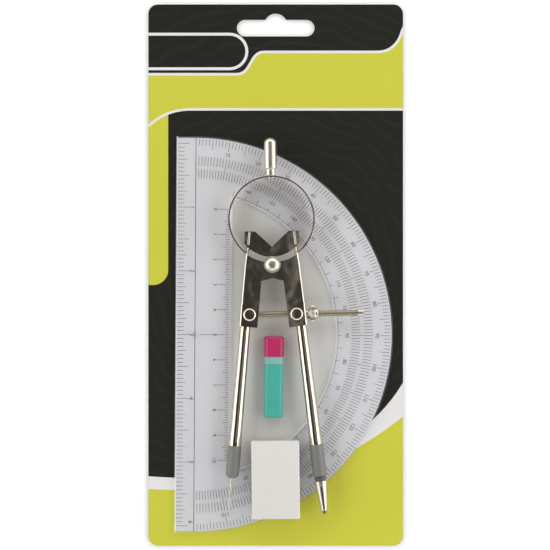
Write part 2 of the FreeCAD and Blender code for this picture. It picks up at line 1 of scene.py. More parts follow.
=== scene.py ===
import json
import math
import bmesh
import bpy
from mathutils import Matrix, Vector
from mathutils.geometry import interpolate_bezier, tessellate_polygon


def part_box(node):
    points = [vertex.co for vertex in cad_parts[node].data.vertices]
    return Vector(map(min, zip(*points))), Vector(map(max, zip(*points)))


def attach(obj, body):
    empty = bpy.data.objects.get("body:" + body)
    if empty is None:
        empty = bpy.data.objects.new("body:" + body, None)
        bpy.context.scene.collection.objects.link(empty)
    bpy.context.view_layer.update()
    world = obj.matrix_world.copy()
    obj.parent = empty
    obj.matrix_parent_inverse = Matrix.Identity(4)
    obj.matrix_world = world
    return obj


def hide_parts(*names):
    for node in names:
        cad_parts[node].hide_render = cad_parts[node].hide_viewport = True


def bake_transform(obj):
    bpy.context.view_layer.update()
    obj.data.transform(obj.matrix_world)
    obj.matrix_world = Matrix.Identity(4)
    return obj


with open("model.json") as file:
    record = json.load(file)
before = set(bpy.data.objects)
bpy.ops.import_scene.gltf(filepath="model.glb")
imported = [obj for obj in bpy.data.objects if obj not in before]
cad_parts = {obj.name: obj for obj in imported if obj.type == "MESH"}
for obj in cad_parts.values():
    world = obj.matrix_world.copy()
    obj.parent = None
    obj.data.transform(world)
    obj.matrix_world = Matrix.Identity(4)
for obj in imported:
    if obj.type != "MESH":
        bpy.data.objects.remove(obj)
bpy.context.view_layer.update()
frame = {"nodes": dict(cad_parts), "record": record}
mm = 0.001

# the part's own set-out in mm and degrees, which the frame doesn't list; joints and boxes do
# come from the frame, and the compass lies with its handle along its own Y
placing = {"legLean": 6.05, "ruleRound": 79, "ruleTurn": -0.35, "trunnionX": 9.331,
           "spindleY": -19.726, "tubeX": -8.52}
joints = {joint["name"]: joint for joint in frame["record"]["behaviour"]["joints"]}
pivot = Vector(joints["needle_leg_hinge"]["pos_m"])
spindleWay = Vector(joints["washer_travel"]["axis"])
headTurn = math.atan2(spindleWay.y, spindleWay.x)
legLean = math.radians(placing["legLean"])
compass = Matrix.Translation(pivot) @ Matrix.Rotation(headTurn, 4, "Z")
leftLeg = compass @ Matrix.Rotation(-legLean, 4, "Z")
rightLeg = compass @ Matrix.Rotation(legLean, 4, "Z")
alongY = Matrix.Rotation(-math.pi / 2, 4, "X")
spindleLine = compass @ Matrix.Translation((0, placing["spindleY"] * mm, 0))
ruleLow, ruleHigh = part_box("protractor")
ruleCentre = Vector((ruleHigh[0] - placing["ruleRound"] * mm, ruleLow[1] + placing["ruleRound"] * mm,
                     ruleHigh[2]))
rulePlace = (Matrix.Translation(ruleCentre)
             @ Matrix.Rotation(math.radians(placing["ruleTurn"]), 4, "Z"))
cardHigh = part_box("backing_card")[1]
rubberLow, rubberHigh = (Vector(corner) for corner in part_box("eraser"))


def colour(text):
    values = [int(text[i:i + 2], 16) / 255 for i in (1, 3, 5)]
    return (*(v / 12.92 if v <= 0.04045 else ((v + 0.055) / 1.055) ** 2.4 for v in values), 1)


def addNode(tree, kind, settings=None, inputs=None):
    node = tree.nodes.new(kind)
    for key, value in (settings or {}).items():
        setattr(node, key, value)
    for key, value in (inputs or {}).items():
        if isinstance(value, bpy.types.NodeSocket):
            tree.links.new(value, node.inputs[key])
        else:
            node.inputs[key].default_value = value
    return node


def newMaterial(name):
    material = bpy.data.materials.new(name)
    material.use_nodes = True
    tree = material.node_tree
    return material, tree, tree.nodes["Principled BSDF"]


def grainOf(tree, size, detail=4):
    coords = addNode(tree, "ShaderNodeTexCoord")
    return addNode(tree, "ShaderNodeTexNoise", inputs={
        "Vector": coords.outputs["Object"], "Scale": 1 / (size * mm), "Detail": detail})


# noise stays mostly between 0.3 and 0.7, so that span is stretched to the wanted one
def spread(tree, value, low, high):
    return addNode(tree, "ShaderNodeMapRange", inputs={
        "Value": value, "From Min": 0.3, "From Max": 0.7, "To Min": low, "To Max": high}).outputs[0]


def bumpOf(tree, height, strength, depth):
    return addNode(tree, "ShaderNodeBump", inputs={
        "Height": height, "Strength": strength, "Distance": depth * mm}).outputs["Normal"]


def mixColour(tree, factor, first, second):
    node = addNode(tree, "ShaderNodeMix", {"data_type": "RGBA"}, {0: factor, 6: first, 7: second})
    return node.outputs[2]


# bright nickel: barrel polishing leaves a clear mirror with faint haze, and the rolled
# strip under it makes the reflections swim
nickelLook = {"light": "#D8CFC0", "deep": "#C6BCAA", "haze": 2.2, "scratches": 0.12, "waves": 7,
              "waveDepth": 0.16, "smoothest": 0.07, "roughest": 0.14}
nickel, tree, shader = newMaterial("nickel plate, barrel polished")
haze = grainOf(tree, nickelLook["haze"])
fine = grainOf(tree, nickelLook["scratches"], 2)
waves = grainOf(tree, nickelLook["waves"], 1)
tree.links.new(mixColour(tree, haze.outputs[0], colour(nickelLook["light"]),
                         colour(nickelLook["deep"])), shader.inputs["Base Color"])
shader.inputs["Metallic"].default_value = 1
tree.links.new(spread(tree, haze.outputs[0], nickelLook["smoothest"], nickelLook["roughest"]),
               shader.inputs["Roughness"])
planished = addNode(tree, "ShaderNodeBump", inputs={
    "Height": waves.outputs[0], "Strength": 1.0, "Distance": nickelLook["waveDepth"] * mm,
    "Normal": bumpOf(tree, fine.outputs[0], 0.12, 0.004)})
tree.links.new(planished.outputs["Normal"], shader.inputs["Normal"])


def dullMetal(name, first, second, smoothest, roughest):
    material, tree, shader = newMaterial(name)
    haze = grainOf(tree, 1.1)
    fine = grainOf(tree, 0.1, 2)
    tree.links.new(mixColour(tree, haze.outputs[0], colour(first), colour(second)),
                   shader.inputs["Base Color"])
    shader.inputs["Metallic"].default_value = 1
    tree.links.new(spread(tree, haze.outputs[0], smoothest, roughest), shader.inputs["Roughness"])
    tree.links.new(bumpOf(tree, fine.outputs[0], 0.15, 0.006), shader.inputs["Normal"])
    return material


# tumbled small parts have soft-edged highlights, blanked strip is evenly grey, and brass
# shows yellow through the thin plate of the rolled thread
satin = dullMetal("nickel plate, tumbled satin", "#D9D3C8", "#CBC4B7", 0.3, 0.4)
matt = dullMetal("nickel plate, matt on blanked strip", "#D2CEC6", "#C5C0B7", 0.44, 0.54)
screwMetal = dullMetal("brass, thread rolled and thinly plated", "#BFB8A4", "#ADA48A", 0.34, 0.48)

# needle steel, drawn and ground: long lines, 9 to a millimetre, streak its highlight
steel, tree, shader = newMaterial("tool steel, ground and drawn")
shader.inputs["Base Color"].default_value = colour("#C9C2B4")
shader.inputs["Metallic"].default_value = 1
coords = addNode(tree, "ShaderNodeTexCoord")
stretch = addNode(tree, "ShaderNodeMapping", inputs={
    "Vector": coords.outputs["Object"], "Scale": (9 / mm, 0.3 / mm, 9 / mm)})
lines = addNode(tree, "ShaderNodeTexNoise", inputs={"Vector": stretch.outputs[0], "Scale": 1.0})
tree.links.new(spread(tree, lines.outputs[0], 0.2, 0.36), shader.inputs["Roughness"])

# clear polystyrene: seen straight through, mirrors at its faces, frosty at its cut edges
rulePlastic = {"tint": "#FDFDFE", "cloud": "#F4F4F8", "flatFrost": 0.07, "edgeFrost": 0.35,
               "straightMirror": 0.052, "rough": 0.06}
clearPlastic, tree, shader = newMaterial("polystyrene, clear moulded")
tree.nodes.remove(shader)
geometry = addNode(tree, "ShaderNodeNewGeometry")
upright = addNode(tree, "ShaderNodeSeparateXYZ", inputs={0: geometry.outputs["True Normal"]})
flatness = addNode(tree, "ShaderNodeMath", {"operation": "ABSOLUTE"}, {0: upright.outputs["Z"]})
frost = addNode(tree, "ShaderNodeMapRange", inputs={
    "Value": flatness.outputs[0], "From Min": 0.75, "From Max": 0.98,
    "To Min": rulePlastic["edgeFrost"], "To Max": rulePlastic["flatFrost"]})
through = addNode(tree, "ShaderNodeBsdfTransparent", inputs={"Color": colour(rulePlastic["tint"])})
cloud = addNode(tree, "ShaderNodeBsdfDiffuse", inputs={"Color": colour(rulePlastic["cloud"])})
body = addNode(tree, "ShaderNodeMixShader", inputs={
    0: frost.outputs[0], 1: through.outputs[0], 2: cloud.outputs[0]})
facing = addNode(tree, "ShaderNodeLayerWeight", inputs={"Blend": 0.5})
steep = addNode(tree, "ShaderNodeMath", {"operation": "POWER"}, {0: facing.outputs["Facing"], 1: 5.0})
bend = addNode(tree, "ShaderNodeMapRange", inputs={
    "Value": steep.outputs[0], "To Min": rulePlastic["straightMirror"]})
mirror = addNode(tree, "ShaderNodeBsdfGlossy", inputs={
    "Color": (1, 1, 1, 1), "Roughness": rulePlastic["rough"]})
clear = addNode(tree, "ShaderNodeMixShader", inputs={
    0: bend.outputs[0], 1: body.outputs[0], 2: mirror.outputs[0]})
tree.links.new(clear.outputs[0], tree.nodes["Material Output"].inputs["Surface"])


def plastic(name, first, second, rough, flow=1.5, soak=0.0, relief=0.02, shine=0.5):
    material, tree, shader = newMaterial(name)
    clouds = grainOf(tree, flow)
    skin = grainOf(tree, 0.15, 2)
    tree.links.new(mixColour(tree, clouds.outputs[0], colour(first), colour(second)),
                   shader.inputs["Base Color"])
    tree.links.new(spread(tree, skin.outputs[0], rough - 0.04, rough + 0.05),
                   shader.inputs["Roughness"])
    tree.links.new(bumpOf(tree, skin.outputs[0], 0.25, relief), shader.inputs["Normal"])
    shader.inputs["IOR"].default_value = 1.49
    shader.inputs["Specular IOR Level"].default_value = shine
    if soak:
        shader.inputs["Subsurface Weight"].default_value = soak
        shader.inputs["Subsurface Radius"].default_value = (1.0, 1.0, 1.0)
        shader.inputs["Subsurface Scale"].default_value = 0.6 * mm
    return material


# moulded polypropylene glows a little and keeps a soft gloss from its mould
teal = plastic("polypropylene, moulded teal", "#41A394", "#4CAA9B", 0.3,
               flow=4, soak=0.25, relief=0.004)
pale = plastic("polypropylene, thin translucent teal", "#86B5AF", "#7DAAA5", 0.3,
               flow=4, soak=0.4, relief=0.004)
pink = plastic("polypropylene, moulded pink", "#AA2858", "#B52F61", 0.27,
               flow=4, soak=0.2, relief=0.004)
# cut vinyl is matt and chalky
vinyl = plastic("vinyl, calendered and cut", "#D6D3CE", "#D0CDC7", 0.55, flow=3, soak=0.2)
# moulded nylon has a dull even skin
nylon = plastic("nylon, moulded grey", "#767673", "#6C6C69", 0.42, flow=1.2, relief=0.01)
darkNylon = plastic("nylon, moulded dark grey", "#55565A", "#4B4C50", 0.4, flow=1.2, relief=0.01)
# inks: black is thick and dry, the offset colours lie under a satin varnish with a weak shine
scaleInk = plastic("screen ink, black", "#1E1E20", "#242427", 0.5)
limeInk = plastic("offset ink, lime under varnish", "#C4C242", "#BFBE3E", 0.45,
                  flow=14, shine=0.25)
whiteInk = plastic("coated board, unprinted under varnish", "#DCDAD8", "#D8D6D4", 0.45,
                   flow=14, shine=0.25)
slipInk = plastic("coated board, printed pale grey", "#DAD9DA", "#D6D5D6", 0.45,
                  flow=20, shine=0.25)
# mid grey on the card inside the protractor's window, a little darker than the pale grey D round it
windowGrey = plastic("coated board, mid grey in the window", "#D2D1CE", "#CCCBC8", 0.45,
                   flow=20, shine=0.25)

# pencil lead: baked graphite is near black with a grey sheen
graphite, tree, shader = newMaterial("graphite, extruded and baked")
shader.inputs["Base Color"].default_value = colour("#2E2E31")
shader.inputs["Roughness"].default_value = 0.38
shader.inputs["IOR"].default_value = 1.9

# printed board: varnished black front with faint wavy rings, bare grey-white back and edges
boardLook = {"black": "#20201C", "ring": "#2B2A25", "ringSize": 16, "pulp": 0.5,
             "bareLight": "#C9C6BE", "bareDeep": "#BCB8AE", "frontRough": 0.38, "backRough": 0.8}
board, tree, shader = newMaterial("folding boxboard, offset black under varnish")
coords = addNode(tree, "ShaderNodeTexCoord")
stripes = addNode(tree, "ShaderNodeTexWave", {"wave_type": "RINGS", "rings_direction": "Z"}, {
    "Vector": coords.outputs["Object"], "Scale": 1 / (boardLook["ringSize"] * mm),
    "Distortion": 7.0, "Detail": 1.5, "Detail Scale": 1.2})
thin = addNode(tree, "ShaderNodeMapRange", inputs={
    "Value": stripes.outputs["Fac"], "From Min": 0.86, "From Max": 0.93, "To Min": 0, "To Max": 0.4})
black = mixColour(tree, thin.outputs[0], colour(boardLook["black"]), colour(boardLook["ring"]))
pulp = grainOf(tree, boardLook["pulp"])
bare = mixColour(tree, pulp.outputs[0], colour(boardLook["bareLight"]), colour(boardLook["bareDeep"]))
geometry = addNode(tree, "ShaderNodeNewGeometry")
upright = addNode(tree, "ShaderNodeSeparateXYZ", inputs={0: geometry.outputs["True Normal"]})
front = addNode(tree, "ShaderNodeMath", {"operation": "GREATER_THAN"}, {0: upright.outputs["Z"], 1: 0.5})
tree.links.new(mixColour(tree, front.outputs[0], bare, black), shader.inputs["Base Color"])
shine = addNode(tree, "ShaderNodeMapRange", inputs={
    "Value": front.outputs[0], "To Min": boardLook["backRough"], "To Max": boardLook["frontRough"]})
tree.links.new(shine.outputs[0], shader.inputs["Roughness"])
shader.inputs["Specular IOR Level"].default_value = 0.25
print("materials made")

# what each node of the frame is made of; the rest is bright nickel
nodeMaterials = {
    "backing_card": board, "protractor": clearPlastic, "eraser": vinyl, "lead_case": teal,
    "lead_case_neck": pale, "lead_case_cap": pink, "spare_lead_left": graphite,
    "spare_lead_right": graphite, "compass_lead": graphite, "needle": steel,
    "needle_plug": nylon, "lead_sleeve": nylon, "clamp_ring": darkNylon, "spindle": screwMetal,
    "front_saddle_plate": matt, "rear_saddle_plate": matt, "thumb_wheel": satin,
    "thrust_washer": satin, "lead_clutch": satin, "spindle_stop": satin,
}
for name, thing in frame["nodes"].items():
    thing.data.materials.clear()
    thing.data.materials.append(nodeMaterials.get(name, nickel))


def pieceFrom(name, mesh, material, body, replaced=(), place=None, smooth=False):
    if place is not None:
        mesh.transform(place)
    mesh.materials.clear()
    mesh.materials.append(material)
    for face in mesh.polygons:
        face.material_index = 0
        face.use_smooth = smooth
    thing = bpy.data.objects.new(name, mesh)
    bpy.context.scene.collection.objects.link(thing)
    if smooth:
        mesh.set_sharp_from_angle(angle=math.radians(32))
    if body:
        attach(thing, body)
    if replaced:
        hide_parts(*replaced)
    return thing


# printing on the card; all its points are mm from the card's middle
def bezier(points, steps=18):
    corners = [Vector((*point, 0)) for point in points]
    return [(p.x, p.y) for p in interpolate_bezier(*corners, steps)]


def arcPoints(x, y, radius, start, end, steps=10):
    turns = [math.radians(start + (end - start) * i / steps) for i in range(steps + 1)]
    return [(x + radius * math.cos(t), y + radius * math.sin(t)) for t in turns]


def strokeOf(path, width):
    left, right = [], []
    for i, point in enumerate(path):
        before, after = path[max(i - 1, 0)], path[min(i + 1, len(path) - 1)]
        way = Vector((after[0] - before[0], after[1] - before[1])).normalized() * width / 2
        if i in (0, len(path) - 1) and abs(way.x) > 0.1 * width:
            way = Vector((math.copysign(width / 2, way.x), 0))  # upright ends
        left.append((point[0] - way.y, point[1] + way.x))
        right.append((point[0] + way.y, point[1] - way.x))
    return left + right[::-1]


def inkMesh(name, outlines, height):
    mesh = bpy.data.meshes.new(name)
    points, faces = [], []
    for outline in outlines:
        ring = [Vector((x * mm, y * mm, 0)) for x, y in outline]
        first = len(points)
        points += ring
        faces += [[first + i for i in corner] for corner in tessellate_polygon([ring])]
    mesh.from_pydata([(p.x, p.y, height) for p in points], [], faces)
    for face in mesh.polygons:
        if face.normal.z < 0:
            face.flip()
    mesh.update()
    return mesh


def onRule(points):
    return [tuple((rulePlace @ Vector((x * mm, y * mm, 0))).xy / mm) for x, y in points]


edgeX, edgeY = cardHigh[0] / mm - 0.02, cardHigh[1] / mm - 0.02
card = {
    "inkLayer": 0.012, "corner": 3.8,
    "headLow": (-edgeX, 80.1), "headWide": 1.05,
    "headBend": [(-15.7, 80.1), (-9.4, 80.1), (-10.6, 89.0), (-4.6, 89.0)],
    "headRise": [(40.5, 89.0), (46.2, 89.0), (49.6, 92.8), (edgeX, 98.8)],
    "fieldStart": (edgeX, 66.1), "fieldWide": 1.0,
    "fieldBend": [(-34.2, 66.1), (-41.5, 66.0), (-46.5, 63.4), (-edgeX, 59.4)],
    "band": [(-edgeX, 59.6), (-42.9, 64.6), (-42.9, 2.0)], "bandEnd": (-48.9, 2.0, 6.0, 0, -90),
    "bandFoot": (-edgeX, -4.0),
    "swooshTop": [(-edgeX, -80.3), (-12, -83.5), (31, -76), (edgeX, -43.0)],
    "swooshLow": [(-edgeX, -85.4), (-6, -88.0), (22, -79), (edgeX, -56.5)], "swooshSteps": 30,
    "loopTop": [(-edgeX, 96.1), (-18.0, 96.1)], "loopEnd": (-18.4, 89.2, 6.9, 88, -88, 16),
    "loopLow": [(-18.0, 82.3), (-edgeX, 82.3)], "loopWide": 1.15,
    "slipLeft": -7.5, "slipRound": 78.5, "shadeLeft": 14.9, "shadeTall": 54.0, "shadeRound": 56.0,
    "shadeTurn": 74.6,
}
headLine = ([card["headLow"], card["headBend"][0]] + bezier(card["headBend"])[1:]
            + bezier(card["headRise"]))
fieldLine = [card["fieldStart"]] + bezier(card["fieldBend"])
band = card["band"] + arcPoints(*card["bandEnd"]) + [card["bandFoot"]]
swooshTop = bezier(card["swooshTop"], card["swooshSteps"])
swooshLow = bezier(card["swooshLow"], card["swooshSteps"])
cornerX, cornerY = edgeX - card["corner"], card["corner"] - edgeY
footer = (swooshLow + arcPoints(cornerX, cornerY, card["corner"], 0, -90)
          + arcPoints(-cornerX, cornerY, card["corner"], -90, -180))
loop = card["loopTop"] + arcPoints(*card["loopEnd"]) + card["loopLow"]
whites = [strokeOf(headLine, card["headWide"]), strokeOf(fieldLine, card["fieldWide"]),
          swooshTop + swooshLow[::-1], strokeOf(loop, card["loopWide"])]
whites = [[(max(-edgeX, min(edgeX, x)), y) for x, y in outline] for outline in whites]
slip = ([(card["slipLeft"], -card["slipRound"])] + arcPoints(0, 0, card["slipRound"], -90, 90, 60)
        + [(card["slipLeft"], card["slipRound"])])
shade = ([(card["shadeLeft"], -card["shadeTall"])]
         + arcPoints(0, 0, card["shadeRound"], -card["shadeTurn"], card["shadeTurn"], 50)
         + [(card["shadeLeft"], card["shadeTall"])])
cardPrint = {
    "card_lime_print": ([headLine + fieldLine, band, footer], limeInk),
    "card_white_print": (whites, whiteInk),
    "card_pale_print": ([onRule(slip)], slipInk),
    # the window's mid grey, a little darker than the pale grey D
    "card_window_grey": ([onRule(shade)], windowGrey),
}
for layer, (name, (outlines, ink)) in enumerate(cardPrint.items(), start=1):
    height = cardHigh[2] + layer * card["inkLayer"] * mm
    pieceFrom(name, inkMesh(name, outlines, height), ink, "pack_card")
print("card printed")


# scales on the protractor; each tick is one flat strip, laid along a line or round an arc
def scaleNodes():
    group = bpy.data.node_groups.new("scale ticks", "GeometryNodeTree")
    wanted = (("Count", "Int"), ("First angle", "Float"), ("Angle step", "Float"),
              ("Radius", "Float"), ("First height", "Float"), ("Height step", "Float"),
              ("Tick width", "Float"), ("Short", "Float"), ("Middle", "Float"), ("Long", "Float"),
              ("Middle every", "Float"), ("Long every", "Float"), ("Ink", "Material"))
    for name, kind in wanted:
        group.interface.new_socket(name, in_out="INPUT", socket_type=f"NodeSocket{kind}")
    group.interface.new_socket("Ticks", in_out="OUTPUT", socket_type="NodeSocketGeometry")
    given = addNode(group, "NodeGroupInput").outputs
    index = addNode(group, "GeometryNodeInputIndex").outputs[0]

    def mathOf(operation, *values):
        return addNode(group, "ShaderNodeMath", {"operation": operation},
                       dict(enumerate(values))).outputs[0]

    angle = mathOf("MULTIPLY_ADD", index, given["Angle step"], given["First angle"])
    height = mathOf("MULTIPLY_ADD", index, given["Height step"], given["First height"])
    across = mathOf("MULTIPLY", given["Radius"], mathOf("COSINE", angle))
    up = mathOf("MULTIPLY_ADD", given["Radius"], mathOf("SINE", angle), height)
    length = given["Short"]
    for every, reach in (("Middle every", "Middle"), ("Long every", "Long")):
        here = mathOf("LESS_THAN", mathOf("MODULO", mathOf("ADD", index, 0.001), given[every]), 0.5)
        length = mathOf("MULTIPLY_ADD", here, mathOf("SUBTRACT", given[reach], length), length)
    dots = addNode(group, "GeometryNodeMeshLine", inputs={
        "Count": given["Count"], "Offset": (0, 0, 0)})
    spot = addNode(group, "ShaderNodeCombineXYZ", inputs={0: across, 1: up})
    laid = addNode(group, "GeometryNodeSetPosition", inputs={
        "Geometry": dots.outputs[0], "Position": spot.outputs[0]})
    tick = addNode(group, "GeometryNodeMeshGrid", inputs={
        "Size X": 1.0, "Size Y": 1.0, "Vertices X": 2, "Vertices Y": 2})
    moved = addNode(group, "GeometryNodeTransform", inputs={
        "Geometry": tick.outputs[0], "Translation": (0.5, 0, 0)})
    scale = addNode(group, "ShaderNodeCombineXYZ", inputs={0: length, 1: given["Tick width"], 2: 1.0})
    turn = addNode(group, "ShaderNodeCombineXYZ", inputs={2: angle})
    placed = addNode(group, "GeometryNodeInstanceOnPoints", inputs={
        "Points": laid.outputs[0], "Instance": moved.outputs[0], "Rotation": turn.outputs[0],
        "Scale": scale.outputs[0]})
    real = addNode(group, "GeometryNodeRealizeInstances", inputs={0: placed.outputs[0]})
    inked = addNode(group, "GeometryNodeSetMaterial", inputs={
        "Geometry": real.outputs[0], "Material": given["Ink"]})
    addNode(group, "NodeGroupOutput", inputs={0: inked.outputs[0]})
    return group


def meshOfGroup(group, values):
    holder = bpy.data.objects.new("holder", bpy.data.meshes.new("holder"))
    bpy.context.scene.collection.objects.link(holder)
    modifier = holder.modifiers.new("nodes", "NODES")
    modifier.node_group = group
    for item in group.interface.items_tree:
        if item.in_out == "INPUT" and item.name in values:
            modifier[item.identifier] = values[item.name]
    shown = holder.evaluated_get(bpy.context.evaluated_depsgraph_get())
    mesh = bpy.data.meshes.new_from_object(shown)
    bpy.data.objects.remove(holder)
    return mesh


degree = math.radians(1)
inch = 25.4 * mm
ruleInk = {"lift": 0.012, "tickWide": 0.17}
inkPlace = rulePlace @ Matrix.Translation((0, 0, ruleInk["lift"] * mm))
halfTurn = {"Count": 181, "First angle": -90 * degree, "Angle step": degree, "Middle every": 5.0,
            "Long every": 10.0}
scales = {
    "inch_scale": {"Count": 97, "First height": 3 * inch, "Height step": -inch / 16,
                   "Radius": -7.1 * mm, "Short": 2.6 * mm, "Middle": 3.5 * mm, "Long": 4.6 * mm,
                   "Middle every": 4.0, "Long every": 8.0},
    "centimetre_scale": {"Count": 101, "First height": 50 * mm, "Height step": -1 * mm,
                         "Radius": 13.55 * mm, "Short": -1.5 * mm, "Middle": -2.4 * mm,
                         "Long": -4.2 * mm, "Middle every": 5.0, "Long every": 10.0},
    "degree_ring_inner": {**halfTurn, "Radius": 62.4 * mm, "Short": 3.5 * mm, "Middle": 3.5 * mm,
                          "Long": 4.4 * mm},
    "degree_ring_middle": {**halfTurn, "Radius": 71.0 * mm, "Short": -3.6 * mm,
                           "Middle": -3.6 * mm, "Long": -4.2 * mm},
    "degree_ring_outer": {**halfTurn, "Radius": 77.9 * mm, "Short": -2.5 * mm,
                          "Middle": -4.0 * mm, "Long": -4.0 * mm},
    "window_ticks": {"Count": 31, "First angle": -75 * degree, "Angle step": 5 * degree,
                     "Radius": 57.15 * mm, "Short": 1.2 * mm, "Middle": 2.0 * mm,
                     "Long": 2.0 * mm, "Middle every": 2.0, "Long every": 2.0},
}
ticks = scaleNodes()
for name, values in scales.items():
    settings = {"First angle": 0.0, "Angle step": 0.0, "First height": 0.0, "Height step": 0.0,
                "Tick width": ruleInk["tickWide"] * mm, "Ink": scaleInk, **values}
    pieceFrom(name, meshOfGroup(ticks, settings), scaleInk, "protractor_rule",
              place=inkPlace)


def numeralMesh(name, entries, height):
    gathered = bmesh.new()
    for text, x, y, turn in entries:
        font = bpy.data.curves.new("numeral", "FONT")
        font.body, font.size = text, height * mm * 1.36  # digits come out 0.95 of height
        font.align_x, font.align_y = "CENTER", "CENTER"
        font.resolution_u = 3
        holder = bpy.data.objects.new("numeral", font)
        flat = holder.to_mesh()
        flat.transform(Matrix.Translation((x * mm, y * mm, 0)) @ Matrix.Rotation(turn, 4, "Z"))
        gathered.from_mesh(flat)
        holder.to_mesh_clear()
        bpy.data.objects.remove(holder)
        bpy.data.curves.remove(font)
    mesh = bpy.data.meshes.new(name)
    gathered.to_mesh(mesh)
    gathered.free()
    return mesh


def aroundScale(values, radius, backwards):
    entries = []
    for value in values:
        angle = math.radians(value - 90 if backwards else 90 - value)
        entries.append((str(value), radius * math.cos(angle), radius * math.sin(angle),
                        angle - math.pi / 2))
    return entries


def downScale(values, x, start, step):
    return [(str(value), x, start - step * value, -math.pi / 2) for value in values]


# each row of numbers with its nominal height in mm; the last inch sits above its corner
numerals = {
    "inch_numerals": (downScale(range(1, 6), -1.4, 76.2, 25.4) + downScale([6], -1.4, 77.7, 25.4),
                      1.9),
    "centimetre_numerals": (downScale(range(0, 11), 7.9, 50, 10), 1.6),
    "degree_numerals": (aroundScale(range(10, 180, 10), 72.6, False), 1.6),
    "degree_numerals_back": (aroundScale(range(20, 170, 10), 60.6, True), 1.5),
}
for name, (entries, height) in numerals.items():
    pieceFrom(name, numeralMesh(name, entries, height), scaleInk, "protractor_rule",
              place=inkPlace)
ruleLines = {"upright": (0.12, 78.6), "base": (2.1, 13.4, 0.08), "windowRound": 57.1,
             "windowTurn": 74, "windowWide": 0.14}
uprightX, uprightY = ruleLines["upright"]
baseStart, baseEnd, baseY = ruleLines["base"]
windowArc = arcPoints(0, 0, ruleLines["windowRound"], -ruleLines["windowTurn"],
                      ruleLines["windowTurn"], 60)
baseLines = [[(-uprightX, -uprightY), (uprightX, -uprightY), (uprightX, uprightY),
              (-uprightX, uprightY)],
             [(baseStart, -baseY), (baseEnd, -baseY), (baseEnd, baseY), (baseStart, baseY)],
             strokeOf(windowArc, ruleLines["windowWide"])]
pieceFrom("base_lines", inkMesh("base_lines", baseLines, 0), scaleInk, "protractor_rule",
          place=inkPlace)
print("scales printed")


def outward(mesh):
    shape = bmesh.new()
    shape.from_mesh(mesh)
    bmesh.ops.recalc_face_normals(shape, faces=shape.faces)
    shape.to_mesh(mesh)
    shape.free()
    return mesh


def joined(name, *meshes):
    shape = bmesh.new()
    for mesh in meshes:
        shape.from_mesh(mesh)
    whole = bpy.data.meshes.new(name)
    shape.to_mesh(whole)
    shape.free()
    return whole


# a profile is a list of (distance from the axis, height) in mm; the axis is Z
def lathe(name, profile, steps=48):
    mesh = bpy.data.meshes.new(name)
    points, rings = [], []
    for radius, height in profile:
        if radius < 1e-6:
            rings.append([len(points)] * steps)
            points.append((0, 0, height * mm))
            continue
        rings.append(list(range(len(points), len(points) + steps)))
        for i in range(steps):
            turn = 2 * math.pi * i / steps
            points.append((radius * math.cos(turn) * mm, radius * math.sin(turn) * mm, height * mm))
    faces = []
    for low, high in zip(rings, rings[1:]):
        for i in range(steps):
            k = (i + 1) % steps
            corners = list(dict.fromkeys((low[i], low[k], high[k], high[i])))
            if len(corners) > 2:
                faces.append(corners)
    mesh.from_pydata(points, [], faces)
    mesh.update()
    return outward(mesh)


def domeProfile(radius, low, top, steps=8):
    return [(radius * math.cos(math.pi / 2 * i / steps),
             low + (top - low) * math.sin(math.pi / 2 * i / steps)) for i in range(steps + 1)]


# the outer long edges of the two clevises are rounded like the legs above them
roundedLegs = {"left_leg": leftLeg, "right_leg": rightLeg}
clevis = {"shortest": 5.0, "outside": 10.5, "above": 3.1, "round": 0.75}


def roundClevis(shape, place):
    away = place.inverted()
    outer = [e for e in shape.edges if e.calc_length() > clevis["shortest"] * mm
             and all(abs((away @ v.co).x) > clevis["outside"] * mm for v in e.verts)
             and all(abs((away @ v.co).z) > clevis["above"] * mm for v in e.verts)]
    bmesh.ops.bevel(shape, geom=outer, offset=clevis["round"] * mm, segments=5, profile=0.5,
                    affect="EDGES", clamp_overlap=True)


# a merged copy of a rigid node with its sharp edges broken, as tumbling leaves them
def brokenEdges(node, body, width, sharp=32):
    shape = bmesh.new()
    shape.from_mesh(frame["nodes"][node].data)
    bmesh.ops.remove_doubles(shape, verts=shape.verts, dist=0.002 * mm)
    bmesh.ops.dissolve_limit(shape, angle_limit=math.radians(0.5), verts=shape.verts,
                             edges=shape.edges)
    if node in roundedLegs:
        roundClevis(shape, roundedLegs[node])
    hard = [e for e in shape.edges if e.is_manifold and e.calc_face_angle() > math.radians(sharp)]
    bmesh.ops.bevel(shape, geom=hard, offset=width * mm, segments=2, profile=0.5,
                    affect="EDGES", clamp_overlap=True)
    bmesh.ops.triangulate(shape, faces=[f for f in shape.faces if len(f.verts) > 4])
    mesh = bpy.data.meshes.new(node)
    shape.to_mesh(mesh)
    shape.free()
    if mesh.has_custom_normals:
        mesh.attributes.remove(mesh.attributes["custom_normal"])
    pieceFrom(node + "_finished", mesh, nodeMaterials.get(node, nickel), body, (node,),
              smooth=True)
    # level faces keep flat shading, so that smoothing doesn't bend their reflections
    for face in mesh.polygons:
        face.use_smooth = abs(face.normal.z) < 0.9999


# body, slot and width of the broken edge in mm
brokenNodes = {
    "left_leg": ("needle_leg", "nickel", 0.16), "right_leg": ("lead_leg", "nickel", 0.16),
    "front_saddle_plate": ("compass_head", "nickel", 0.12),
    "left_trunnion": ("spindle_set", "nickel", 0.12),
    "right_trunnion": ("right_swivel", "nickel", 0.12),
    "lead_clutch": ("lead_leg", "nickel", 0.06), "clamp_ring": ("lead_leg", "dark_plastic", 0.1),
    "thrust_washer": ("washer", "nickel", 0.1), "spindle_stop": ("spindle_set", "nickel", 0.1),
    "lead_case": ("case_tube", "teal_plastic", 0.15),
    "lead_case_cap": ("case_cap", "pink_plastic", 0.2),
    "lead_sleeve": ("lead_leg", "grey_plastic", 0.12),
}
for node, (body, slotName, width) in brokenNodes.items():
    brokenEdges(node, body, width)
print("edges broken")

